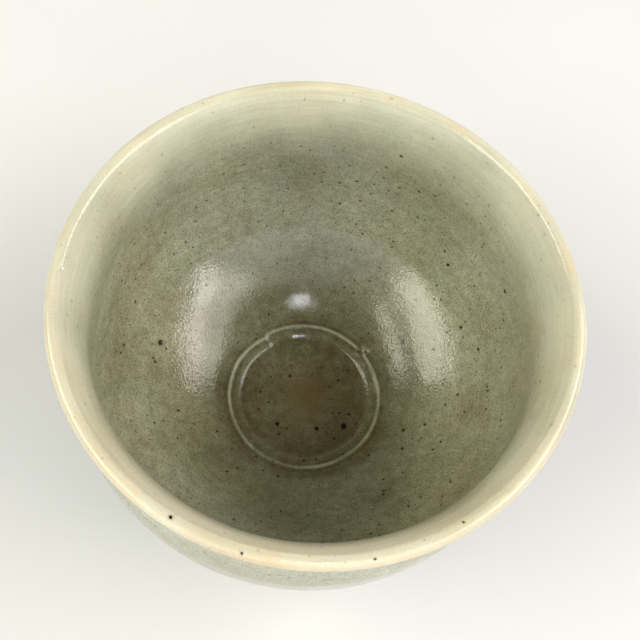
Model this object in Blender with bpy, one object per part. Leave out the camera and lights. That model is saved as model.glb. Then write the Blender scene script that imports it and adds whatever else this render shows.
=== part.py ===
"""Matcha bowl: a wheel-thrown stoneware tea bowl under a fired glaze.

Metres, +Z up. The origin is the centre of the plane that the foot ring stands on.
Every outline is a list of (radius, height) points, turned about the Z axis. Headings are in degrees:
0 points away from the axis and 90 points up.
"""

import math

import bmesh
import bpy

# Driving dimensions
HEIGHT = 0.080
LIP_RADIUS = 0.060
LIP_ROUND = 0.00195
GLAZE_THICKNESS = 0.0006
GAP = 0.0003  # left between the glaze and the clay under it

# Inside of the bowl, on the face of the glaze
POOL_RADIUS = 0.0188
POOL_HEIGHT = 0.0124
POOL_STEP = (0.0210, 0.0129)
POOL_EDGE = (0.0234, 0.0140)
INNER_HIP = (0.04715, 0.0276)
INNER_WALL = (0.0543, 0.0445)
INNER_BELLY = (0.0543, 0.0510)
INNER_WAIST = (0.05265, 0.0680)

# Outside of the bowl, on the face of the glaze
OUTER_WAIST = (0.0573, 0.0680)
OUTER_BELLY = (0.0592, 0.0500)
OUTER_HIP = (0.05165, 0.0228)
FOOT_ROOT = (0.0284, 0.0084)
UNDERSIDE_STEPS = 6
GLAZED_UNDERSIDE_STEPS = 4  # the glaze stops here, short of the foot

# Foot ring, bare clay
FOOT_RADIUS = 0.0270
FOOT_WALL_TOP = 0.0062
FOOT_BEVEL = 0.0009
RING_WIDTH = 0.0056
RECESS_HEIGHT = 0.0063
RECESS_FILLET = 0.0018
RECESS_GLAZE_RADIUS = 0.0182

SEGMENTS = 48
MERGE = 1e-6

MATERIALS = {
    "clay_body": {"colour": (0.42, 0.33, 0.25, 1), "roughness": 0.85, "metallic": 0.0},
    "glaze_coat": {"colour": (0.46, 0.46, 0.34, 1), "roughness": 0.16, "metallic": 0.0},
    "foot_well_glaze": {"colour": (0.38, 0.39, 0.29, 1), "roughness": 0.2, "metallic": 0.0},
}


def clear_scene():
    for obj in list(bpy.data.objects):
        bpy.data.objects.remove(obj, do_unlink=True)


def principled(name, colour, roughness, metallic):
    material = bpy.data.materials.new(name)
    material.use_nodes = True
    shader = material.node_tree.nodes["Principled BSDF"]
    shader.inputs["Base Color"].default_value = colour
    shader.inputs["Roughness"].default_value = roughness
    shader.inputs["Metallic"].default_value = metallic
    return material


def towards(point, heading, distance):
    angle = math.radians(heading)
    return (point[0] + distance * math.cos(angle), point[1] + distance * math.sin(angle))


def sweep(start, leave, end, arrive, steps):
    """A smooth curve from start to end, without its first point. leave and arrive are its headings."""
    reach = math.dist(start, end) / 3
    a, b, c, d = start, towards(start, leave, reach), towards(end, arrive, -reach), end
    points = []
    for step in range(1, steps + 1):
        t = step / steps
        u = 1 - t
        weights = (u**3, 3 * u * u * t, 3 * u * t * t, t**3)
        points.append(tuple(sum(w * p[axis] for w, p in zip(weights, (a, b, c, d))) for axis in (0, 1)))
    return points


def arc(centre, radius, first, last, steps):
    """Points on a circle from angle first to angle last, both included."""
    return [towards(centre, first + (last - first) * step / steps, radius) for step in range(steps + 1)]


def offset(outline, distance):
    """The outline moved to its own right by distance; its end on the axis stays on the axis."""
    moved = []
    for index, (radius, height) in enumerate(outline):
        before = outline[max(index - 1, 0)]
        after = outline[min(index + 1, len(outline) - 1)]
        along = (after[0] - before[0], after[1] - before[1])
        length = math.hypot(*along)
        shifted = radius + distance * along[1] / length
        moved.append((0.0 if radius == 0 else shifted, height - distance * along[0] / length))
    return moved


def glaze_face():
    """The visible face of the bowl from the middle of the tea pool, over the lip, to the root of the foot."""
    middle = (0.0, POOL_HEIGHT)
    pool = (POOL_RADIUS, POOL_HEIGHT)
    lip_centre = (LIP_RADIUS - LIP_ROUND, HEIGHT - LIP_ROUND)
    lip = arc(lip_centre, LIP_ROUND, 150, -30, 6)
    face = [middle, (POOL_RADIUS / 2, POOL_HEIGHT), pool]
    face += sweep(pool, 0, POOL_STEP, 32, 1)
    face += sweep(POOL_STEP, 32, POOL_EDGE, 16, 1)
    face += sweep(POOL_EDGE, 16, INNER_HIP, 43, 5)
    face += sweep(INNER_HIP, 43, INNER_WALL, 90, 4)
    face += sweep(INNER_WALL, 90, INNER_BELLY, 93, 1)
    face += sweep(INNER_BELLY, 93, INNER_WAIST, 90, 3)
    face += sweep(INNER_WAIST, 90, lip[0], 60, 3)
    face += lip[1:]
    face += sweep(lip[-1], -120, OUTER_WAIST, -90, 3)
    face += sweep(OUTER_WAIST, -90, OUTER_BELLY, -90, 3)
    face += sweep(OUTER_BELLY, -90, OUTER_HIP, -137, 5)
    face += sweep(OUTER_HIP, -137, FOOT_ROOT, -158, UNDERSIDE_STEPS)
    return face


def foot_outline(root):
    """Bare clay from the root of the foot, round the ring and over the recess to the axis."""
    outer_top = (FOOT_RADIUS, FOOT_WALL_TOP)
    outer_edge = (FOOT_RADIUS, FOOT_BEVEL)
    ring_outside = (FOOT_RADIUS - FOOT_BEVEL, 0.0)
    recess_radius = FOOT_RADIUS - RING_WIDTH
    ring_inside = (recess_radius + FOOT_BEVEL, 0.0)
    inner_edge = (recess_radius, FOOT_BEVEL)
    fillet_start = (recess_radius, RECESS_HEIGHT - RECESS_FILLET)
    fillet_end = (recess_radius - RECESS_FILLET, RECESS_HEIGHT)
    outline = sweep(root, -158, outer_top, -90, 3) + [outer_edge]
    outline += sweep(outer_edge, -90, ring_outside, 180, 2) + [ring_inside]
    outline += sweep(ring_inside, 180, inner_edge, 90, 2) + [fillet_start]
    outline += sweep(fillet_start, 90, fillet_end, 180, 2)
    outline += [(recess_radius / 2, RECESS_HEIGHT), (0.0, RECESS_HEIGHT)]
    return outline


def lathe(name, outline):
    """A closed solid turned from an outline whose two ends lie on the axis."""
    shape = bmesh.new()
    verts = [shape.verts.new((radius, 0.0, height)) for radius, height in outline]
    edges = [shape.edges.new(pair) for pair in zip(verts, verts[1:])]
    bmesh.ops.spin(shape, geom=verts + edges, cent=(0, 0, 0), axis=(0, 0, 1), angle=math.tau, steps=SEGMENTS)
    bmesh.ops.remove_doubles(shape, verts=shape.verts, dist=MERGE)
    bmesh.ops.recalc_face_normals(shape, faces=shape.faces)
    mesh = bpy.data.meshes.new(name)
    shape.to_mesh(mesh)
    shape.free()
    mesh.shade_smooth()
    mesh.set_sharp_from_angle(angle=math.radians(40))
    mesh.materials.append(principled(name, **MATERIALS[name]))
    obj = bpy.data.objects.new(name, mesh)
    bpy.context.collection.objects.link(obj)


def make_clay_body():
    under_glaze = offset(glaze_face(), GLAZE_THICKNESS + GAP)
    lathe("clay_body", under_glaze + foot_outline(under_glaze[-1]))


def make_glaze_coat():
    bare_steps = UNDERSIDE_STEPS - GLAZED_UNDERSIDE_STEPS
    face = glaze_face()
    back = offset(face, GLAZE_THICKNESS)
    lathe("glaze_coat", face[:-bare_steps] + back[:-bare_steps][::-1])


def make_foot_well_glaze():
    back = RECESS_HEIGHT - GAP
    front = back - GLAZE_THICKNESS
    corners = [(0.0, front), (RECESS_GLAZE_RADIUS, front), (RECESS_GLAZE_RADIUS, back), (0.0, back)]
    lathe("foot_well_glaze", corners)


clear_scene()
make_clay_body()
make_glaze_coat()
make_foot_well_glaze()
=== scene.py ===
"""The looks of the matcha bowl: glaze, clay, floor, light and camera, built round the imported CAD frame.

Lengths are millimetres until a mesh, a lamp or the camera is made. The bowl's faces are turned outlines,
read by s, the distance along an outline, and by azimuth, the angle round the axis. The face of the glaze
starts at the middle of the tea pool. The bare clay starts under the glaze's root and ends at the axis.
Headings are in degrees: 0 points away from the axis and 90 points up.
"""

import math

import bpy
import numpy as np
from mathutils import Matrix, Vector


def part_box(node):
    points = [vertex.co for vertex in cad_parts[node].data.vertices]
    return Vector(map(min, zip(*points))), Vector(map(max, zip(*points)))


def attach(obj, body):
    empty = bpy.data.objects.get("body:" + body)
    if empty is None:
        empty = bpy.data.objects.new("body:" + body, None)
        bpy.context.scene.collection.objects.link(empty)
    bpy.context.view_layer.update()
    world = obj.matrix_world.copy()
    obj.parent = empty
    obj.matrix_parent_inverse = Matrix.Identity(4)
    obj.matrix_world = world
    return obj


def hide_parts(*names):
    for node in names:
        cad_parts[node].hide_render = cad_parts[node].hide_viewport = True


MM = 0.001

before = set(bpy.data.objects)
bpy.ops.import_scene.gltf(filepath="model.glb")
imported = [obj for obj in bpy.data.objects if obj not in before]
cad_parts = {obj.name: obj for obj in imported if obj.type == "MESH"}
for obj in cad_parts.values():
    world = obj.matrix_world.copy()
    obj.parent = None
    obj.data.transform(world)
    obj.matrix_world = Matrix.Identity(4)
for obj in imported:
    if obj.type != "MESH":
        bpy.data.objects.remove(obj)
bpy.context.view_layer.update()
glaze_low, glaze_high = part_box("glaze_coat")
recess_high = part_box("foot_well_glaze")[1]

# Driving sizes, from the frame
LIP_RADIUS = glaze_high.x / MM
HEIGHT = glaze_high.z / MM
GLAZE_LINE_HEIGHT = glaze_low.z / MM + 0.8
RECESS_GLAZE_RADIUS = recess_high.x / MM

# Driving sizes that repeat part.py's
LIP_ROUND = 1.95
GLAZE_DEPTH = 0.9
POOL_RADIUS = 18.2
POOL_HEIGHT = 12.35
RING_EDGE = (22.3, 13.7)
SHELF_END = (24.5, 13.95)
SLOPE_START = (28.0, 15.1)
INNER_HIP = (47.15, 27.6)
INNER_WALL = (54.3, 44.5)
INNER_BELLY = (54.3, 51.0)
INNER_WAIST = (52.65, 68.0)
OUTER_WAIST = (57.3, 68.0)
OUTER_BELLY = (59.2, 50.0)
OUTER_HIP = (51.65, 22.8)
FOOT_ROOT = (28.4, 8.4)
FOOT_RADIUS = 27.0
FOOT_WALL_TOP = 6.2
FOOT_BEVEL = 0.9
RING_WIDTH = 5.6
RECESS_HEIGHT = 6.3
RECESS_FILLET = 1.8

# The meshes
COLUMNS = 640  # points round the bowl on the visible faces
HIDDEN_COLUMNS = 80  # and on the coarse faces inside the wall, which nothing shows
BACK_DEPTH = 0.6  # from the face of the glaze to its back
HIDDEN_THICKNESS = 0.6  # the glaze thickness written on hidden faces
HIDDEN_MIDDLE_THICKNESS = 0.9  # and on the point behind the middle of the tea pool
MAP_CENTRE = 0.5
MAP_REACH = 0.49  # the visible faces' radius on the baking map
HIDDEN_MAP_CENTRE = 0.07
HIDDEN_MAP_RADIUS = 0.065


# Outlines


def towards(point, heading, distance):
    """The point that lies at a distance from another, along a heading."""
    angle = math.radians(heading)
    return (point[0] + distance * math.cos(angle), point[1] + distance * math.sin(angle))


def sweep(start, leave, end, arrive, steps=80):
    """A smooth curve from start to end, without its first point. leave and arrive are its headings."""
    reach = math.dist(start, end) / 3
    a, b, c, d = start, towards(start, leave, reach), towards(end, arrive, -reach), end
    t = np.linspace(0, 1, steps + 1)[1:, None]
    u = 1 - t
    return u**3 * a + 3 * u * u * t * b + 3 * u * t * t * c + t**3 * np.array(d)


def arc(centre, radius, first, last, steps=60):
    """Points on a circle between two directions in degrees."""
    angles = np.radians(np.linspace(first, last, steps + 1))
    return np.stack([centre[0] + radius * np.cos(angles), centre[1] + radius * np.sin(angles)], 1)


class Outline:
    """A turned outline, read by the distance s from its first point."""

    def __init__(self, start):
        self.points = [np.array([start], float)]
        self.marks = {}

    def add(self, points, mark=None):
        """Adds points and returns the last one. mark names its place."""
        self.points.append(np.atleast_2d(points))
        if mark:
            self.marks[mark] = sum(len(p) for p in self.points) - 1
        return tuple(self.points[-1][-1])

    def finish(self):
        """Measures the outline and turns its marks into distances."""
        points = np.vstack(self.points)
        self.s = np.concatenate([[0], np.cumsum(np.hypot(*np.diff(points, axis=0).T))])
        self.radius, self.height = points.T
        self.marks = {name: self.s[index] for name, index in self.marks.items()}
        self.end = self.s[-1]
        return self

    def at(self, s):
        """The radius and height at s."""
        return np.interp(s, self.s, self.radius), np.interp(s, self.s, self.height)

    def normal(self, s, reach=0.12):
        """The unit normal on the outline's left, as (radius, height) parts."""
        before, after = self.at(np.maximum(s - reach, 0)), self.at(np.minimum(s + reach, self.end))
        along = np.array([after[0] - before[0], after[1] - before[1]])
        along /= np.maximum(np.hypot(*along), 1e-9)
        return -along[1], along[0]


def face_outline():
    """The visible face of the glaze from the middle of the pool, over the lip, to the root of the foot."""
    face = Outline((0, POOL_HEIGHT))
    pool = face.add((POOL_RADIUS - 0.8, POOL_HEIGHT), "pool")
    step_start = face.add(sweep(pool, 0, (POOL_RADIUS + 0.5, POOL_HEIGHT + 0.22), 26, 20))
    step_end = (RING_EDGE[0] - 0.5, RING_EDGE[1] - 0.12)
    face.add(sweep(step_start, 26, step_end, 22, 10))
    edge = face.add(sweep(step_end, 22, (RING_EDGE[0] + 0.35, RING_EDGE[1]), 1, 12), "ring")
    face.add(sweep(edge, 1, SHELF_END, 11, 20), "shelf")
    face.add(sweep(SHELF_END, 11, SLOPE_START, 22, 30))
    face.add(sweep(SLOPE_START, 22, INNER_HIP, 43), "hip")
    face.add(sweep(INNER_HIP, 43, INNER_WALL, 90), "wall")
    face.add(sweep(INNER_WALL, 90, INNER_BELLY, 93), "belly")
    waist = face.add(sweep(INNER_BELLY, 93, INNER_WAIST, 90), "waist")
    lip = arc((LIP_RADIUS - LIP_ROUND, HEIGHT - LIP_ROUND), LIP_ROUND, 140, -30)
    face.add(sweep(waist, 90, tuple(lip[0]), 50), "lip_start")
    face.add(lip[1:19], "lip_top")
    seam = face.add(lip[19:], "seam")
    face.add(sweep(seam, -120, OUTER_WAIST, -90), "outer_waist")
    face.add(sweep(OUTER_WAIST, -90, OUTER_BELLY, -90))
    face.add(sweep(OUTER_BELLY, -90, OUTER_HIP, -137), "outer_hip")
    face.add(sweep(OUTER_HIP, -137, FOOT_ROOT, -158))
    return face.finish()


def foot_outline():
    """The bare clay from under the glaze's edge, round the foot ring and over its recess to the axis."""
    root = FACE.at(FACE.end)
    normal = FACE.normal(FACE.end)
    start = (root[0] - GLAZE_DEPTH * normal[0], root[1] - GLAZE_DEPTH * normal[1])
    recess_radius = FOOT_RADIUS - RING_WIDTH
    foot = Outline(start)
    foot.add(sweep(start, -158, (FOOT_RADIUS, FOOT_WALL_TOP), -92, 40))
    bevel = foot.add((FOOT_RADIUS, FOOT_BEVEL))
    foot.add(sweep(bevel, -90, (FOOT_RADIUS - FOOT_BEVEL, 0), 180, 16), "ring_outside")
    inside = foot.add((recess_radius + FOOT_BEVEL, 0), "ring_inside")
    foot.add(sweep(inside, 180, (recess_radius, FOOT_BEVEL), 90, 16))
    fillet = foot.add((recess_radius - 0.2, RECESS_HEIGHT - RECESS_FILLET))
    ceiling = (recess_radius - RECESS_FILLET, RECESS_HEIGHT)
    foot.add(sweep(fillet, 92, ceiling, 180, 20), "ceiling")
    foot.add((0, RECESS_HEIGHT))
    return foot.finish()


FACE = face_outline()
FOOT = foot_outline()
UNDERSIDE = FACE.s > FACE.marks["outer_hip"]
GLAZE_LINE = float(np.interp(-GLAZE_LINE_HEIGHT, -FACE.height[UNDERSIDE], FACE.s[UNDERSIDE]))


# Unevenness of a hand-thrown pot

# Nicks: place along the face, direction in degrees, width and depth in mm
DENTS = (
    (FACE.marks["ring"] - 0.6, 48, 1.0, 0.6),
    (FACE.marks["ring"] + 0.7, 45, 0.5, 0.25),
    (FACE.marks["hip"] + 0.4, 69, 0.6, 0.22),
    (FACE.marks["hip"] - 0.9, 66, 0.45, 0.15),
    (FACE.marks["seam"] - 1.2, 182, 0.8, 0.35),
    (FACE.marks["lip_start"] + 0.3, 186, 0.55, 0.3),
    (FACE.marks["lip_top"] - 0.4, 320, 0.6, 0.22),
)

# Where the glaze has run down: direction and width in degrees, and how far in mm
GLAZE_RUNS = ((70, 7, 2.6), (205, 10, 1.8), (310, 6, 1.4))

THROWING_PITCH = 3.4  # mm between the lines that the potter's fingers left
TURNING_PITCH = 0.9  # mm between the lines of the turning tool on the foot
RIDGE_AZIMUTH = 210  # of a faint ridge on the wall, in degrees
BELLY_LEAN = 0.45  # mm by which the belly leans towards -X and -Y
FLASH_WIDTH = 9  # mm of bare clay that the kiln toasted, from the glaze's edge


def spline_weights(t):
    """The four weights of a cubic B-spline at t between two points of its grid."""
    first = (1 - t) ** 3 / 6
    second = (3 * t**3 - 6 * t**2 + 4) / 6
    third = (-3 * t**3 + 3 * t**2 + 3 * t + 1) / 6
    return first, second, third, t**3 / 6


def field(seed, azimuth, s, cells_around, cell_length):
    """Smooth random values, mostly within -1 and 1, that join up once round the bowl."""
    grid = np.random.default_rng(seed).uniform(-1.7, 1.7, (400, cells_around))
    around = np.mod(azimuth / math.tau, 1) * cells_around
    along = s / cell_length + 2
    column, row = np.floor(around).astype(int), np.clip(np.floor(along).astype(int), 1, 396)
    total = 0
    for i, weight_along in enumerate(spline_weights(along - row)):
        for j, weight_around in enumerate(spline_weights(around - column)):
            value = grid[row + i - 1, (column + j - 1) % cells_around]
            total = total + weight_along * weight_around * value
    return total


def bump(distance, width):
    """1 at no distance, falling smoothly to almost 0 at twice the width."""
    return np.exp(-((distance / width) ** 2))


def turn_between(azimuth, degrees):
    """Signed angle in degrees from a direction to each azimuth."""
    return np.mod(np.degrees(azimuth) - degrees + 180, 360) - 180


def ring_shift(azimuth):
    """How far out of round the cut edge of the tea pool runs, with a kink where the cut began."""
    still = np.zeros_like(azimuth)
    shift = 0.42 * field(31, azimuth, still, 7, 10) + 0.16 * field(32, azimuth, still, 23, 10)
    kink = turn_between(azimuth, 134)
    shift -= 0.75 * np.where(kink > 0, np.clip(1 - kink / 30, 0, 1), np.clip(1 + kink / 4, 0, 1))
    return shift


def face_point(s, azimuth, sink=0.0):
    """Points on the glaze's face, or sunk below it, in mm. s and azimuth are arrays of one shape."""
    marks = FACE.marks
    radius, height = FACE.at(s)
    out, up = FACE.normal(s)
    proud = 0.24 * field(11, azimuth, s, 6, 27) + 0.07 * field(12, azimuth, s, 19, 7)
    throwing = np.clip((s - marks["ring"] - 8) / 12, 0, 1) * (0.010 + 0.012 * field(14, azimuth, s, 9, 9))
    turns = s / THROWING_PITCH + azimuth / math.tau + 0.6 * field(13, azimuth, s, 5, 14)
    proud += throwing * np.sin(math.tau * turns)
    ridge_s = marks["hip"] + 2.5 + 0.06 * turn_between(azimuth, RIDGE_AZIMUTH)
    proud += 0.16 * bump(turn_between(azimuth, RIDGE_AZIMUTH), 24) * bump(s - ridge_s, 1.3)
    for place, about, width, depth in DENTS:
        across = radius * np.radians(turn_between(azimuth, about))
        proud -= depth * bump(np.hypot(s - place, across), width)
    proud -= sink
    radius = radius + proud * out
    height = height + proud * up
    radius = radius + ring_shift(azimuth) * bump(s - marks["ring"], 6.5)
    still = 0 * s
    near_lip = bump(s - marks["lip_top"], 13)
    out_of_round = 0.34 * field(21, azimuth, still, 5, 9) + 0.12 * field(22, azimuth, still, 13, 9)
    radius = radius + near_lip * out_of_round
    height = height + near_lip * (0.3 * field(23, azimuth, still, 4, 9) - 0.1)
    lean = BELLY_LEAN * bump(height - 46, 17)
    x = radius * np.cos(azimuth) - lean
    y = radius * np.sin(azimuth) - lean
    return np.stack([x, y, height], -1)


def glaze_edge(azimuth):
    """s of the wavering line where the glaze stops above the foot."""
    still = np.zeros_like(azimuth)
    wave = 1.5 * field(41, azimuth, still, 6, 9) + 0.6 * field(42, azimuth, still, 17, 9)
    for about, width, run in GLAZE_RUNS:
        wave += run * bump(turn_between(azimuth, about), width)
    return GLAZE_LINE + wave


# Meshes made of rings


class Skin:
    """A closed mesh built ring by ring, the solid on the right of the way that the rings follow.

    Rings next to each other have the same number of points, or one has twice the other's, or it is a single
    point. The mesh is mapped for baking, with the visible rings as circles round the map's middle and the
    hidden ones as small circles in a corner.
    """

    def __init__(self, closed=False):
        self.rings = []
        self.values = []
        self.map_radii = []
        self.hidden = []
        self.closed = closed  # the last ring joins the first

    def ring(self, points, values, map_radius=0.0, hidden=False):
        """Adds a ring. values are written on its points, and map_radius is its circle on the map."""
        points = np.atleast_2d(points)
        self.rings.append(points)
        self.values.append(np.broadcast_to(values, len(points)))
        self.map_radii.append(map_radius)
        self.hidden.append(hidden)

    def strip(self, a, b):
        """The faces between rings a and b. A corner is (ring, step, steps in that ring)."""
        count_a, count_b = len(self.rings[a]), len(self.rings[b])
        to_a_point = 1 in (count_a, count_b)
        j = np.arange(max(count_a, count_b) if to_a_point else min(count_a, count_b))
        here, there = (a, count_a), (b, count_b)
        if count_a == 1:
            return [[(*here, 0 * j), (*there, j), (*there, j + 1)]]
        if count_b == 1:
            return [[(*here, j), (*there, 0 * j), (*here, j + 1)]]
        if count_a == count_b:
            return [[(*here, j), (*there, j), (*there, j + 1), (*here, j + 1)]]
        if count_a == 2 * count_b:
            return [
                [(*here, 2 * j), (*there, j), (*here, 2 * j + 1)],
                [(*here, 2 * j + 1), (*there, j), (*there, j + 1)],
                [(*here, 2 * j + 1), (*there, j + 1), (*here, 2 * j + 2)],
            ]
        return [
            [(*here, j), (*there, 2 * j), (*there, 2 * j + 1)],
            [(*here, j), (*there, 2 * j + 1), (*here, j + 1)],
            [(*here, j + 1), (*there, 2 * j + 1), (*there, 2 * j + 2)],
        ]

    def on_map(self, ring, count, step, hidden):
        """Where a corner lies on the baking map, for a visible or a hidden face."""
        if not hidden:
            centre, radius = MAP_CENTRE, self.map_radii[ring]
        elif not self.hidden[ring]:
            centre, radius = HIDDEN_MAP_CENTRE, HIDDEN_MAP_RADIUS
        else:
            centre, radius = HIDDEN_MAP_CENTRE, HIDDEN_MAP_RADIUS * (1 - 0.9 * ring / len(self.rings))
        angle = math.tau * step / count
        return centre + radius * np.stack([np.cos(angle), np.sin(angle)], -1)

    def build(self, name, material, value_name):
        """Makes the object. The rings' values go into an attribute called value_name."""
        first = np.concatenate([[0], np.cumsum([len(ring) for ring in self.rings])])
        pairs = [(a, a + 1) for a in range(len(self.rings) - 1)]
        if self.closed:
            pairs.append((len(self.rings) - 1, 0))
        faces, places = [], []
        for a, b in pairs:
            hidden = self.hidden[a] or self.hidden[b]
            for corners in self.strip(a, b):
                indices = [first[ring] + step % count for ring, count, step in corners]
                faces += np.stack(indices, 1).tolist()
                places.append(np.stack([self.on_map(*corner, hidden) for corner in corners], 1))
        mesh = bpy.data.meshes.new(name)
        mesh.from_pydata((np.vstack(self.rings) * MM).tolist(), [], faces)
        baking = mesh.uv_layers.new(name="OFBake")
        baking.data.foreach_set("uv", np.concatenate([p.reshape(-1) for p in places]).astype(np.float32))
        values = mesh.attributes.new(value_name, "FLOAT", "POINT")
        values.data.foreach_set("value", np.concatenate(self.values).astype(np.float32))
        mesh.shade_smooth()
        mesh.set_sharp_from_angle(angle=math.radians(50))
        mesh.materials.append(material)
        obj = bpy.data.objects.new(name, mesh)
        bpy.context.scene.collection.objects.link(obj)
        return obj


def ring_columns(radius, most):
    """Fewer points round the small rings by the axis."""
    columns = most
    while columns > 20 and radius < 0.025 * columns:
        columns //= 2
    return columns


def azimuths(columns):
    """The directions of a ring's points, in radians."""
    return np.arange(columns) / columns * math.tau


def rows_between(first, last, spacing):
    """Places from first to last, spaced by the function spacing."""
    fine = np.linspace(first, last, 4000)
    density = np.concatenate([[0], np.cumsum((fine[1] - fine[0]) / spacing(fine[1:]))])
    return np.interp(np.linspace(0, density[-1], int(density[-1]) + 2), density, fine)


def convexity(rows):
    """How sharply each point of a grid of rows stands out along the outline, in 1/mm."""
    radius = np.hypot(rows[..., 0], rows[..., 1])
    steps = np.stack([np.diff(radius, axis=0), np.diff(rows[..., 2], axis=0)], -1)
    heading = np.unwrap(np.arctan2(steps[..., 1], steps[..., 0]), axis=0)
    length = np.hypot(steps[..., 0], steps[..., 1])
    turn = -np.diff(heading, axis=0) / (0.5 * (length[1:] + length[:-1]))
    return np.concatenate([turn[:1], turn, turn[-1:]])


def settle(values, passes=2):
    """Averages each point with its neighbours round the ring and along the outline."""
    for _ in range(passes):
        values = (np.roll(values, 1, 1) + 2 * values + np.roll(values, -1, 1)) / 4
        values[1:-1] = (values[:-2] + 2 * values[1:-1] + values[2:]) / 4
    return values


def glaze_thickness_and_painted_light(s, azimuth, rows):
    """1 where the glaze has pooled, about 0.6 on the walls, and 0 where it has drawn off an edge. Painted
    light and shade are added on top: darker on the left wall, lighter low on the near and far walls, and
    lighter on the near side's flare and outer lip.

    rows are the face's points at s and azimuth.
    """
    marks = FACE.marks
    places = [0, marks["pool"], marks["ring"], marks["shelf"], marks["hip"], marks["belly"], marks["waist"]]
    levels = [0.84, 0.90, 0.83, 0.81, 0.71, 0.60, 0.50]
    places += [marks["lip_start"], marks["seam"], marks["outer_waist"], marks["outer_hip"], FACE.end]
    levels += [0.44, 0.46, 0.56, 0.62, 0.70]
    level = np.interp(s, places, levels)
    level = level + 0.03 * field(51, azimuth, s, 7, 22) + 0.02 * field(52, azimuth, s, 23, 6)
    # Painted light and shade: the glaze is drawn darker on the left wall, where the right lamp falls, and
    # lighter low on the near wall and on the far wall.
    left = bump(turn_between(azimuth, 184), 32) * bump(s - marks["hip"] - 9, 11)
    near = bump(turn_between(azimuth, -92), 60) * bump(s - marks["hip"] + 2, 9.5)
    far = bump(turn_between(azimuth, 92), 62) * bump(s - marks["hip"] - 8, 13)
    level = level + 0.09 * left - 0.1 * near - 0.09 * far
    # Painted light: the inner flare and the outer lip are drawn lighter on the near side only.
    painted_light_near_side = bump(turn_between(azimuth, -92), 55)
    flare = bump(s - marks["lip_start"] + 2.2, 2.2)
    outer_lip = bump(s - marks["lip_top"] - 1.8, 1.6)
    level = level - painted_light_near_side * (0.2 * flare + 0.16 * outer_lip) - 0.06 * outer_lip
    drawn_off = np.clip(settle(convexity(rows)) / 1.1, -0.1, 1)
    drawn_off *= 1 + 0.4 * field(53, azimuth, s, 31, 9)
    pool_edge = bump(s - marks["ring"], 3.0)
    return level - (0.1 + 0.8 * pool_edge) * drawn_off


def hidden_ring(skin, s, columns, depth):
    """Adds a ring inside the wall, depth below the face."""
    turn = azimuths(columns)
    skin.ring(face_point(np.full_like(turn, s), turn, depth), HIDDEN_THICKNESS, hidden=True)


def coarse_columns(s):
    """How many points a hidden ring at s has."""
    return min(HIDDEN_COLUMNS, ring_columns(FACE.at(s)[0], COLUMNS))


def axis_point(depth=0.0):
    """The middle of the tea pool, or the point depth below it."""
    return face_point(np.zeros(1), np.zeros(1), depth)


def inside_spacing(s):
    """Distance between rows: short at the pool's ring and at the lip."""
    spacing = np.where(np.abs(s - FACE.marks["ring"]) < 6, 0.24, 1.35)
    return np.where(s > FACE.marks["lip_start"] - 1.5, 0.26, spacing)


def make_glaze_inside(material):
    """The poured inside glaze, from the middle of the pool to just under the outside of the lip."""
    seam = FACE.marks["seam"]
    s_rows = rows_between(0, seam, inside_spacing)[1:]
    s, azimuth = np.meshgrid(s_rows, azimuths(COLUMNS), indexing="ij")
    rows = face_point(s, azimuth)
    thickness = glaze_thickness_and_painted_light(s, azimuth, rows)
    skin = Skin()
    skin.ring(axis_point(), thickness[0].mean())
    for place, points, values in zip(s_rows, rows, thickness):
        step = COLUMNS // ring_columns(FACE.at(place)[0], COLUMNS)
        skin.ring(points[::step], values[::step], MAP_REACH * place / seam)
    for place, columns in ((seam, COLUMNS), (seam - 0.8, COLUMNS // 2), (seam - 1.6, COLUMNS // 4)):
        hidden_ring(skin, place, columns, BACK_DEPTH)
    for place in np.linspace(seam - 2.5, 4, 40):
        hidden_ring(skin, place, coarse_columns(place), BACK_DEPTH)
    skin.ring(axis_point(BACK_DEPTH), HIDDEN_MIDDLE_THICKNESS, hidden=True)
    return skin.build("glaze_inside", material, "thickness")


# Distances from the rolled edge of the glaze above the foot to the last rows of its mesh
ROLL_ROWS = (4.0, 3.4, 2.9, 2.5, 2.15, 1.85, 1.6, 1.35, 1.1, 0.9, 0.7, 0.5, 0.35, 0.22, 0.12, 0.05, 0.0)


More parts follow.
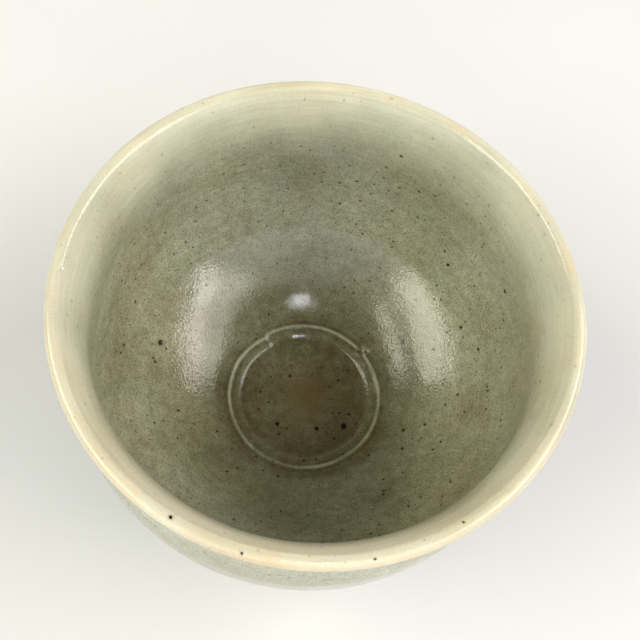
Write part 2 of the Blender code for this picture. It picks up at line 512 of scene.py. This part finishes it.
def make_glaze_outside(material):
    """The outside glaze, from the lip's underside to its rolled edge above the foot."""
    seam = FACE.marks["seam"]
    turn = azimuths(COLUMNS)
    edge = glaze_edge(turn)
    spread = rows_between(0, 1, lambda t: np.where(t < 0.05, 0.0045, 0.0125))
    wall_rows = [seam + (edge - ROLL_ROWS[0] - seam) * t for t in spread]
    s = np.array(wall_rows + [edge - distance for distance in ROLL_ROWS[1:]])
    azimuth = np.broadcast_to(turn, s.shape)
    from_edge = edge - s
    rise = np.clip(from_edge / 0.95, 0, 1)
    edge_depth = GLAZE_DEPTH + 0.08
    bead = 0.26 * bump(from_edge - 1.6, 0.95) * rise
    rows = face_point(s, azimuth, edge_depth * (1 - np.sqrt(1 - (1 - rise) ** 2)) - bead)
    thickness = glaze_thickness_and_painted_light(s, azimuth, face_point(s, azimuth))
    thickness += 0.12 * bump(from_edge - 2.0, 1.2) - 0.4 * bump(from_edge, 0.45)
    skin = Skin(closed=True)
    for index, (points, values) in enumerate(zip(rows, thickness)):
        skin.ring(points, values, MAP_REACH - 0.35 * index / (len(rows) - 1))
    for step, back, depth in ((2, 0.5, edge_depth), (4, 1.5, BACK_DEPTH), (8, 3.0, BACK_DEPTH)):
        points = face_point((edge - back)[::step], turn[::step], depth)
        skin.ring(points, HIDDEN_THICKNESS, hidden=True)
    for place in np.linspace(GLAZE_LINE - 6, seam + 3, 30):
        hidden_ring(skin, place, HIDDEN_COLUMNS, BACK_DEPTH)
    for place, columns in ((seam + 1.6, COLUMNS // 4), (seam + 0.8, COLUMNS // 2), (seam, COLUMNS)):
        hidden_ring(skin, place, columns, BACK_DEPTH)
    return skin.build("glaze_outside", material, "thickness")


def round_axis(radius, azimuth, height):
    """Points from their radius, azimuth and height."""
    return np.stack([radius * np.cos(azimuth), radius * np.sin(azimuth), height + 0 * radius], -1)


def foot_point(s, azimuth):
    """Points on the bare clay from the glaze's root inwards, in mm. s runs along FOOT."""
    radius, height = FOOT.at(s)
    out, up = FOOT.normal(s)
    marks = FOOT.marks
    from_axis = FOOT.end - s
    past_root = np.clip(s / 3, 0, 1)
    in_recess = np.clip((s - marks["ceiling"]) / 3, 0, 1)
    proud = 0.12 * field(61, azimuth, s, 8, 9) + 0.05 * field(62, azimuth, s, 40, 1.6)
    groove = s / TURNING_PITCH + azimuth / math.tau + 0.3 * field(63, azimuth, s, 9, 5)
    proud += 0.035 * np.sin(math.tau * groove)
    spiral = from_axis / THROWING_PITCH - azimuth / math.tau
    proud += in_recess * 0.13 * np.sin(math.tau * spiral) * np.clip(from_axis / 3, 0, 1)
    proud += in_recess * 0.9 * bump(from_axis, 2.6)
    standing = (s > marks["ring_outside"] - 0.6) & (s < marks["ring_inside"] + 0.6)
    proud = np.where(standing, -np.abs(proud) * 0.5, proud)
    radius = radius + proud * out * past_root
    height = height + proud * up * past_root
    out_of_round = 0.22 * field(64, azimuth, 0 * s, 5, 9)
    radius = radius + out_of_round * past_root * np.clip(from_axis / 8, 0, 1)
    return round_axis(radius, azimuth, height)


def make_clay(material):
    """The whole clay body: fine where it is bare at the foot, coarse where the glaze covers it.

    The attribute flash is 1 beside the glaze and falls to 0 away from it.
    """
    bare = GLAZE_LINE - 5
    skin = Skin()
    skin.ring(axis_point(GLAZE_DEPTH), 0.0, hidden=True)
    for place in np.linspace(2, bare - 1.5, 110):
        hidden_ring(skin, place, coarse_columns(place), GLAZE_DEPTH)
    hidden_ring(skin, bare - 0.8, COLUMNS // 4, GLAZE_DEPTH)
    columns = COLUMNS // 2
    turn = azimuths(columns)
    face_rows = rows_between(bare, FACE.end, lambda s: np.full_like(s, 0.36))
    foot_rows = rows_between(0, FOOT.end, lambda s: np.full_like(s, 0.34))[1:-1]
    length = FACE.end - bare + FOOT.end
    s, azimuth = np.meshgrid(face_rows, turn, indexing="ij")
    rough = 0.05 * field(62, azimuth, s, 40, 1.6)
    rough += 0.035 * np.sin(math.tau * (s / TURNING_PITCH + azimuth / math.tau))
    rough *= np.clip((s - bare) / 3, 0, 1) * np.clip((FACE.end - s) / 2, 0, 1)
    edge = glaze_edge(turn)
    for place, points in zip(face_rows, face_point(s, azimuth, GLAZE_DEPTH - rough)):
        flash = np.clip(1 - (place - edge) / FLASH_WIDTH, 0, 1)
        skin.ring(points, flash, MAP_REACH * (length - place + bare) / length)
    s, azimuth = np.meshgrid(foot_rows, turn, indexing="ij")
    for place, points in zip(foot_rows, foot_point(s, azimuth)):
        step = columns // ring_columns(FOOT.at(place)[0], columns)
        flash = np.clip(1 - (place + FACE.end - edge) / FLASH_WIDTH, 0, 1)
        skin.ring(points[::step], flash[::step], MAP_REACH * (FOOT.end - place) / length)
    skin.ring(foot_point(np.full(1, FOOT.end), np.zeros(1)), 0.0)
    return skin.build("bare_clay", material, "flash")


# Distances from the rolled edge of the recess's glaze to the first rows of its mesh
RECESS_ROLL = (0.0, 0.05, 0.12, 0.22, 0.35, 0.5, 0.7, 0.9, 1.15, 1.4, 1.7)


def make_foot_glaze(material):
    """The pool of glaze in the foot's recess, with its rounded, wandering edge."""
    columns = COLUMNS // 2
    turn = azimuths(columns)
    mean_reach = RECESS_GLAZE_RADIUS - 1.4
    reach = mean_reach + 0.9 * field(71, turn, 0 * turn, 7, 9) + 0.4 * field(72, turn, 0 * turn, 19, 9)
    skin = Skin()
    back = RECESS_HEIGHT + 0.15
    skin.ring(np.array([0, 0, back]), HIDDEN_THICKNESS, hidden=True)
    for share in (0.12, 0.25, 0.5, 0.75):
        step = columns // ring_columns(share * RECESS_GLAZE_RADIUS, columns)
        points = round_axis(share * reach[::step], turn[::step], back)
        skin.ring(points, HIDDEN_THICKNESS, hidden=True)
    inward = np.linspace(RECESS_ROLL[-1] + 0.4, RECESS_GLAZE_RADIUS - 2.2, 44)
    for from_edge in (*RECESS_ROLL, *inward):
        step = columns // ring_columns(mean_reach - from_edge, columns)
        azimuth = turn[::step]
        share = 1 - from_edge / mean_reach
        radius = share * reach[::step]
        clay = foot_point(FOOT.end - radius, azimuth)[:, 2]
        rise = min(from_edge / 0.9, 1)
        depth = (GLAZE_DEPTH + 0.05) * math.sqrt(1 - (1 - rise) ** 2) + 0.2 * bump(from_edge - 1.5, 0.9)
        points = round_axis(radius, azimuth, clay - depth + 0.06)
        skin.ring(points, 0.9 - 0.5 * bump(from_edge, 0.6), MAP_REACH * share)
    centre = foot_point(np.full(1, FOOT.end), np.zeros(1))
    centre[:, 2] -= GLAZE_DEPTH * 0.8
    skin.ring(centre, 0.75)
    return skin.build("recess_glaze", material, "thickness")


# Materials

# What shows through the glaze as it gets thicker, from bare edge to deep pool
GLAZE_STOPS = [
    (0.00, (0.50, 0.30, 0.16)),
    (0.12, (0.63, 0.50, 0.34)),
    (0.24, (0.63, 0.58, 0.44)),
    (0.42, (0.505, 0.492, 0.372)),
    (0.60, (0.335, 0.335, 0.240)),
    (0.76, (0.215, 0.208, 0.128)),
    (0.88, (0.140, 0.122, 0.065)),
    (1.00, (0.082, 0.065, 0.030)),
]
WARM_TINT = (0.80, 0.70, 0.52, 1)
COOL_TINT = (0.82, 0.94, 0.98, 1)
BISCUIT = (0.60, 0.45, 0.29, 1)  # clay that shows through thin glaze
STAIN = (0.150, 0.100, 0.042, 1)
FRECKLE = (0.09, 0.06, 0.03, 1)
IRON_FLECK = (0.03, 0.022, 0.014, 1)
IRON_HALO = (0.16, 0.105, 0.05, 1)
IRON_SPOT = (0.012, 0.010, 0.009, 1)

CLAY_STOPS = [(0.3, (0.27, 0.20, 0.145)), (0.7, (0.40, 0.31, 0.23))]
TOASTED_CLAY = (0.33, 0.155, 0.07, 1)
GROG = (0.55, 0.47, 0.37, 1)
CLAY_IRON = (0.05, 0.03, 0.02, 1)

FLOOR_STOPS = [(0.3, (0.60, 0.60, 0.61)), (0.7, (0.64, 0.64, 0.65))]


class Paint:
    """A material's node tree, built node by node."""

    def __init__(self, name):
        self.material = bpy.data.materials.new(name)
        self.material.use_nodes = True
        self.tree = self.material.node_tree
        self.shader = self.tree.nodes["Principled BSDF"]
        place = self.node("ShaderNodeTexCoord").outputs["Object"]
        self.place = self.vector("SCALE", place, scale=1 / MM)  # in mm

    def node(self, kind, inputs=None, **settings):
        """Adds a node. inputs gives each input a number, a colour or another node's output."""
        made = self.tree.nodes.new(kind)
        for key, value in settings.items():
            setattr(made, key, value)
        for key, value in (inputs or {}).items():
            if isinstance(value, bpy.types.NodeSocket):
                self.tree.links.new(value, made.inputs[key])
            else:
                made.inputs[key].default_value = value
        return made

    def math(self, operation, *values):
        return self.node("ShaderNodeMath", dict(enumerate(values)), operation=operation).outputs[0]

    def vector(self, operation, *values, scale=None):
        inputs = dict(enumerate(values))
        if scale is not None:
            inputs["Scale"] = scale
        made = self.node("ShaderNodeVectorMath", inputs, operation=operation)
        return made.outputs["Value" if operation in ("LENGTH", "DISTANCE") else "Vector"]

    def grey(self, value):
        """The colour whose three parts are all value."""
        return self.node("ShaderNodeCombineColor", {0: value, 1: value, 2: value}).outputs[0]

    def warp(self, place, frequency, reach, detail):
        """A noise of vectors, each part from 0 to reach mm. frequency is in features per mm."""
        inputs = {"Vector": place, "Scale": frequency, "Detail": detail}
        return self.vector("SCALE", self.node("ShaderNodeTexNoise", inputs).outputs["Color"], scale=reach)

    def noise(self, size, detail=2.0, seed=0.0, roughness=0.5, place=None):
        """Noise whose features are about size mm across, from 0 to 1."""
        moved = self.vector("ADD", place or self.place, (seed, -seed, seed))
        inputs = {"Vector": moved, "Scale": 1 / size, "Detail": detail, "Roughness": roughness}
        return self.node("ShaderNodeTexNoise", inputs).outputs["Fac"]

    def spread(self, value, low, high, to_low=0.0, to_high=1.0):
        """Takes low to to_low and high to to_high, smoothly, and holds the value beyond them."""
        inputs = {"Value": value, "From Min": low, "From Max": high, "To Min": to_low, "To Max": to_high}
        return self.node("ShaderNodeMapRange", inputs, interpolation_type="SMOOTHSTEP").outputs["Result"]

    def mix(self, share, first, second, blend="MIX"):
        """Mixes two colours. The node has inputs of each name for other types, so they go by number."""
        inputs = {0: share, 6: first, 7: second}
        return self.node("ShaderNodeMix", inputs, data_type="RGBA", blend_type=blend).outputs[2]

    def ramp(self, value, stops):
        """A colour for each value, from (value, colour) stops."""
        made = self.node("ShaderNodeValToRGB", {0: value})
        elements = made.color_ramp.elements
        while len(elements) < len(stops):
            elements.new(0.5)
        for element, (position, colour) in zip(elements, stops):
            element.position = position
            element.color = (*colour, 1)
        return made.outputs["Color"]

    def attribute(self, name):
        return self.node("ShaderNodeAttribute", attribute_name=name).outputs["Fac"]

    def finish(self, colour, roughness, height):
        """Links the shader's inputs. height is the fine relief in mm."""
        relief = self.node("ShaderNodeBump", {"Height": height, "Distance": MM, "Strength": 1.0}).outputs[0]
        for key, value in (("Base Color", colour), ("Roughness", roughness), ("Normal", relief)):
            self.tree.links.new(value, self.shader.inputs[key])
        self.shader.inputs["IOR"].default_value = 1.5
        return self.material


def spots(paint, cell, widest, amount, seed):
    """A mask of scattered spots. A share of the cells, amount, hold one spot each, up to widest mm wide."""
    moved = paint.vector("ADD", paint.place, (seed, seed, -seed))
    moved = paint.vector("ADD", moved, paint.warp(moved, 1.6 / widest, 0.55 * widest, 1.0))
    cells = paint.node("ShaderNodeTexVoronoi", {"Vector": moved, "Scale": 1 / cell, "Randomness": 0.9})
    lot = paint.node("ShaderNodeSeparateColor", {0: cells.outputs["Color"]}).outputs[0]
    size = paint.spread(lot, 1 - amount, 1.0, 0.25, 1.0)
    chosen = paint.math("GREATER_THAN", lot, 1 - amount)
    size = paint.math("MULTIPLY", size, 0.5 * widest / cell)
    share = paint.math("DIVIDE", cells.outputs["Distance"], size)
    return paint.math("MULTIPLY", paint.spread(share, 0.55, 1.15, 1.0, 0.0), chosen)


def placed_spots(paint, places):
    """Distance from the nearest of the listed spots, with ragged outlines: about 1 at the spot's edge."""
    warp = paint.warp(paint.place, 1.8, 0.9, 2.0)
    place = paint.vector("ADD", paint.place, paint.vector("SUBTRACT", warp, (0.45, 0.45, 0.45)))
    nearest = None
    for azimuth, s, width in places:
        spot = face_point(np.array([s]), np.radians(np.array([float(azimuth)])))[0]
        share = paint.math("DIVIDE", paint.vector("DISTANCE", place, tuple(spot)), 0.56 * width)
        nearest = share if nearest is None else paint.math("MINIMUM", nearest, share)
    return nearest


def throwing_streaks(paint):
    """Noise drawn out round the bowl, in lines under a millimetre wide."""
    x, y, z = paint.node("ShaderNodeSeparateXYZ", {0: paint.place}).outputs
    squares = paint.math("ADD", paint.math("MULTIPLY", x, x), paint.math("MULTIPLY", y, y))
    outline = paint.math("ADD", paint.math("SQRT", squares), z)
    round_bowl = [paint.math("MULTIPLY", side, 0.06) for side in (x, y)]
    place = paint.node("ShaderNodeCombineXYZ", dict(enumerate([*round_bowl, outline]))).outputs[0]
    return paint.noise(0.9, 2, seed=31.0, place=place)


def at_radius(radius):
    """s where the inside reaches this radius."""
    inside = FACE.s <= FACE.marks["wall"]
    return float(np.interp(radius, FACE.radius[inside], FACE.s[inside]))


def at_height(height):
    """s where the inside wall reaches this height."""
    wall = (FACE.s >= FACE.marks["hip"]) & (FACE.s <= FACE.marks["lip_top"])
    return float(np.interp(height, FACE.height[wall], FACE.s[wall]))


def glaze_colour(paint, thickness, covered, mottle):
    """Grey-green where the glaze is thick and cream where it is thin, with clouds, mottling and grain."""
    cloud = paint.math("SUBTRACT", paint.noise(17, 3, seed=3.0), 0.5)
    depth = paint.math("MULTIPLY_ADD", cloud, 0.26, thickness)
    mottling = paint.math("MULTIPLY", paint.math("SUBTRACT", mottle, 0.5), 0.24)
    depth = paint.math("MULTIPLY_ADD", mottling, paint.math("MULTIPLY_ADD", covered, 0.8, 0.2), depth)
    colour = paint.ramp(depth, GLAZE_STOPS)
    warm = paint.spread(paint.noise(24, 2, seed=29.0), 0.42, 0.68)
    colour = paint.mix(paint.math("MULTIPLY", warm, 0.34), colour, WARM_TINT, "MULTIPLY")
    cool = paint.spread(paint.noise(11, 3, seed=47.0), 0.5, 0.66)
    cool = paint.math("MULTIPLY", cool, paint.math("MULTIPLY_ADD", covered, 0.26, 0.08))
    colour = paint.mix(cool, colour, COOL_TINT, "MULTIPLY")
    speck = paint.math("SUBTRACT", paint.noise(0.5, 2, seed=5.0, roughness=0.65), 0.5)
    grain = paint.math("MULTIPLY_ADD", speck, paint.math("MULTIPLY_ADD", covered, 1.2, 0.3), 1.0)
    streaks = paint.math("SUBTRACT", throwing_streaks(paint), 0.5)
    grain = paint.math("MULTIPLY_ADD", streaks, 0.3, grain)
    colour = paint.mix(1.0, colour, paint.grey(grain), "MULTIPLY")
    biscuit = paint.spread(paint.noise(8, 3, seed=61.0), 0.45, 0.7, 0.0, 0.4)
    biscuit = paint.math("MULTIPLY", biscuit, paint.spread(thickness, 0.34, 0.46, 1.0, 0.0))
    return paint.mix(biscuit, colour, BISCUIT)


def add_stain(paint, colour, mottle):
    """The rusty stain round the middle of the tea pool."""
    from_centre = paint.vector("DISTANCE", paint.place, (1, 0, POOL_HEIGHT))
    from_centre = paint.math("MULTIPLY_ADD", paint.math("SUBTRACT", mottle, 0.5), 9, from_centre)
    stain = paint.spread(from_centre, 1.0, 12, 0.72, 0.0)
    return paint.mix(stain, colour, STAIN)


def glaze_material(name, placed=()):
    """A semi-opaque grey-green ash glaze over iron-bearing clay. placed lists the given spots."""
    paint = Paint(name)
    # The thickness attribute also carries the painted light and shade drawn on the inside's walls and near
    # lip.
    thickness = paint.attribute("thickness")
    covered = paint.spread(thickness, 0.44, 0.62)
    mottle = paint.noise(2.6, 3, seed=11.0)
    colour = glaze_colour(paint, thickness, covered, mottle)
    freckles = paint.math("MULTIPLY", spots(paint, 0.85, 0.52, 1.0, 7.0), covered)
    colour = paint.mix(paint.math("MULTIPLY", freckles, 0.8), colour, FRECKLE)
    shown = paint.math("MULTIPLY_ADD", covered, 0.7, 0.3)
    flecks = paint.math("MULTIPLY", spots(paint, 2.4, 0.95, 0.75, 19.0), shown)
    colour = paint.mix(paint.math("MULTIPLY", flecks, 0.9), colour, IRON_FLECK)
    pits = paint.math("MULTIPLY", flecks, 0.02)
    if placed:
        colour = add_stain(paint, colour, mottle)
        share = placed_spots(paint, placed)
        colour = paint.mix(paint.spread(share, 0.7, 2.1, 0.55, 0.0), colour, IRON_HALO)
        colour = paint.mix(paint.spread(share, 0.65, 1.1, 1.0, 0.0), colour, IRON_SPOT)
        pits = paint.math("MULTIPLY_ADD", paint.spread(share, 0.2, 1.5, 1.0, 0.0), 0.03, pits)
    peel = paint.math("MULTIPLY", paint.noise(0.7, 2, seed=2.0), 0.052)
    swell = paint.math("MULTIPLY", paint.noise(4.2, 2, seed=8.0), 0.07)
    height = paint.math("SUBTRACT", paint.math("ADD", peel, swell), pits)
    roughness = paint.spread(paint.noise(6, 3, seed=14.0), 0.3, 0.7, 0.08, 0.15)
    roughness = paint.math("ADD", roughness, paint.spread(thickness, 0.1, 0.4, 0.14, 0.0))
    return paint.finish(colour, roughness, height)


def clay_material():
    """Bare iron-bearing stoneware, toasted orange-brown beside the glaze."""
    paint = Paint("bare_stoneware")
    flash = paint.attribute("flash")
    cloud = paint.noise(9, 3, seed=4.0)
    colour = paint.ramp(cloud, CLAY_STOPS)
    toast = paint.spread(flash, 0.55, 0.98)
    colour = paint.mix(paint.math("MULTIPLY", toast, 0.8), colour, TOASTED_CLAY)
    grain = paint.spread(paint.noise(0.35, 3, seed=6.0, roughness=0.7), 0.2, 0.8, 0.72, 1.2)
    colour = paint.mix(1.0, colour, paint.grey(grain), "MULTIPLY")
    grog = spots(paint, 1.6, 0.6, 0.35, 5.0)
    colour = paint.mix(paint.math("MULTIPLY", grog, 0.6), colour, GROG)
    iron = spots(paint, 2.4, 0.5, 0.3, 23.0)
    colour = paint.mix(paint.math("MULTIPLY", iron, 0.85), colour, CLAY_IRON)
    gritty = paint.math("MULTIPLY", paint.noise(0.45, 3, seed=9.0, roughness=0.65), 0.11)
    height = paint.math("SUBTRACT", gritty, paint.math("MULTIPLY", iron, 0.04))
    roughness = paint.spread(paint.noise(3, 2, seed=17.0), 0.3, 0.7, 0.68, 0.88)
    return paint.finish(colour, roughness, height)


def floor_material():
    """A pale floor that glows faintly beyond the lamps' reach, so that it meets the background evenly."""
    paint = Paint("studio_floor")
    colour = paint.ramp(paint.noise(160, 2), FLOOR_STOPS)
    glow = paint.spread(paint.vector("LENGTH", paint.place), 1400, 4200)
    shader = paint.shader.inputs
    paint.tree.links.new(colour, shader["Base Color"])
    paint.tree.links.new(glow, shader["Emission Strength"])
    shader["Emission Color"].default_value = (0.38, 0.39, 0.40, 1)
    shader["Roughness"].default_value = 0.6
    shader["IOR"].default_value = 1.5
    return paint.material


# Iron spots seen inside the bowl: direction in degrees, place along the face, and width in mm
IRON_SPOTS = [
    (135, at_radius(7.2), 0.9),
    (239, at_radius(12), 1.2),
    (299, at_radius(11), 1.3),
    (330, at_radius(15), 1.9),
    (346, at_radius(14.5), 0.9),
    (313, at_radius(16), 0.8),
    (279, at_radius(20), 0.8),
    (263, at_radius(26), 0.8),
    (175, at_radius(43), 1.6),
    (183, at_radius(43), 0.8),
    (202, at_radius(36.7), 0.8),
    (216, at_radius(27.8), 0.7),
    (37, at_radius(33.5), 1.5),
    (29, at_radius(47.7), 0.9),
    (19, at_radius(49.6), 0.8),
    (5, at_radius(43.4), 0.7),
    (347, at_radius(30.8), 0.8),
    (352, at_radius(36), 0.7),
    (337, at_radius(32.8), 0.9),
    (315, at_radius(37), 0.8),
    (317, at_radius(44.6), 0.7),
    (48, at_radius(52.5), 0.9),
    (74, at_height(66), 0.7),
    (66, at_height(54), 0.7),
    (27, at_height(51), 1.1),
    (89, at_height(36.6), 0.7),
    (74, at_radius(34.8), 0.7),
    (249, FACE.marks["lip_start"] + 1.6, 0.75),
    (264, FACE.marks["lip_top"] + 0.8, 0.55),
    (289, FACE.marks["lip_top"] + 0.4, 0.4),
    (308, FACE.marks["lip_top"] - 0.6, 0.5),
]


# The bowl

inside = make_glaze_inside(glaze_material("glaze_inside", IRON_SPOTS))
outside = make_glaze_outside(glaze_material("glaze_outside"))
clay = make_clay(clay_material())
recess = make_foot_glaze(glaze_material("glaze_recess"))
for piece, node, slot in (
    (inside, "glaze_coat", "glaze"),
    (outside, "glaze_coat", "glaze"),
    (clay, "clay_body", "bare_clay"),
    (recess, "foot_well_glaze", "foot_glaze"),
):
    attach(piece, "root")
    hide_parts(node)


# Floor, light and camera


LAMP_DISTANCE = 2.0  # metres
FLOOR_REACH = 12.0  # metres from the middle to each side
HORIZON = (0.50, 0.51, 0.52, 1)
ZENITH = (0.060, 0.055, 0.048, 1)

# The camera, fitted to the photograph's view. The target is in lip radii from the middle of the lip's plane
CAMERA_ELEVATION = 64.14  # degrees
CAMERA_TILT = 9.96  # degrees that the camera is rolled by
CAMERA_TARGET = (0.0137, -0.127)
CAMERA_DISTANCE = 2.886  # lip radii


def softbox(name, azimuth, elevation, width, height, radiance, colour):
    """A soft lamp aimed at the bowl. Its direction, width and height are angles, in degrees."""
    lamp = bpy.data.lights.new(name, "AREA")
    lamp.shape = "RECTANGLE"
    lamp.size = 2 * LAMP_DISTANCE * math.tan(math.radians(width / 2))
    lamp.size_y = 2 * LAMP_DISTANCE * math.tan(math.radians(height / 2))
    lamp.energy = radiance * math.pi * lamp.size * lamp.size_y
    lamp.color = colour
    obj = bpy.data.objects.new(name, lamp)
    turn, rise = math.radians(azimuth), math.radians(elevation)
    toward = Vector((math.cos(rise) * math.cos(turn), math.cos(rise) * math.sin(turn), math.sin(rise)))
    obj.location = Vector((0, 0, 0.5 * HEIGHT * MM)) + LAMP_DISTANCE * toward
    obj.rotation_euler = toward.to_track_quat("Z", "Y").to_euler()
    bpy.context.scene.collection.objects.link(obj)


def make_floor():
    mesh = bpy.data.meshes.new("floor")
    signs = ((-1, -1), (1, -1), (1, 1), (-1, 1))
    corners = [(x * FLOOR_REACH, y * FLOOR_REACH, 0) for x, y in signs]
    mesh.from_pydata(corners, [], [(0, 1, 2, 3)])
    mesh.materials.append(floor_material())
    floor = bpy.data.objects.new("floor", mesh)
    bpy.context.scene.collection.objects.link(floor)


def make_world():
    """Pale walls under a dim ceiling, so that the bottom of the bowl isn't lit from straight above."""
    world = bpy.data.worlds.new("studio")
    world.use_nodes = True
    bpy.context.scene.world = world
    tree = world.node_tree
    place = tree.nodes.new("ShaderNodeTexCoord")
    parts = tree.nodes.new("ShaderNodeSeparateXYZ")
    tree.links.new(place.outputs["Generated"], parts.inputs[0])
    ramp = tree.nodes.new("ShaderNodeValToRGB")
    low, high = ramp.color_ramp.elements
    low.position, low.color = 0.15, HORIZON
    high.position, high.color = 0.75, ZENITH
    tree.links.new(parts.outputs["Z"], ramp.inputs[0])
    tree.links.new(ramp.outputs[0], tree.nodes["Background"].inputs["Color"])
    tree.nodes["Background"].inputs["Strength"].default_value = 1.0


def make_camera():
    """Close above the bowl, looking down into it, with the horizon tipped a little."""
    elevation, tilt = math.radians(CAMERA_ELEVATION), math.radians(CAMERA_TILT)
    back = Vector((0, -math.cos(elevation), math.sin(elevation)))
    across = Vector((1, 0, 0))
    up = back.cross(across)
    right = math.cos(tilt) * across + math.sin(tilt) * up
    above = -math.sin(tilt) * across + math.cos(tilt) * up
    target = Vector((*(LIP_RADIUS * share for share in CAMERA_TARGET), HEIGHT)) * MM
    data = bpy.data.cameras.new("camera")
    data.lens, data.sensor_width = 45, 36
    data.clip_start = 0.01
    camera = bpy.data.objects.new("camera", data)
    turn = Matrix((right, above, back)).transposed()
    place = target + CAMERA_DISTANCE * LIP_RADIUS * MM * back
    camera.matrix_world = Matrix.Translation(place) @ turn.to_4x4()
    bpy.context.scene.collection.objects.link(camera)
    bpy.context.scene.camera = camera


make_floor()
make_world()
softbox("window_right", 7, 38.5, 50, 11, 9.6, (1.0, 0.93, 0.88))
softbox("window_right_top", 0, 51, 46, 14, 4.8, (1.0, 0.97, 0.86))
softbox("window_left", -164, 38.5, 47, 16, 8.0, (1.0, 0.98, 0.82))
softbox("window_left_top", -166, 57, 34, 6, 7.5, (1.0, 0.98, 0.82))
softbox("front_fill", -70, 38, 130, 44, 1.45, (0.92, 0.97, 0.98))
softbox("back_fill", 90, 30, 70, 18, 1.5, (1.0, 0.97, 0.90))
softbox("small_lamp", -66, 70, 1.1, 0.9, 900.0, (0.96, 1.0, 1.0))
make_camera()
bpy.context.scene.view_settings.view_transform = "Standard"
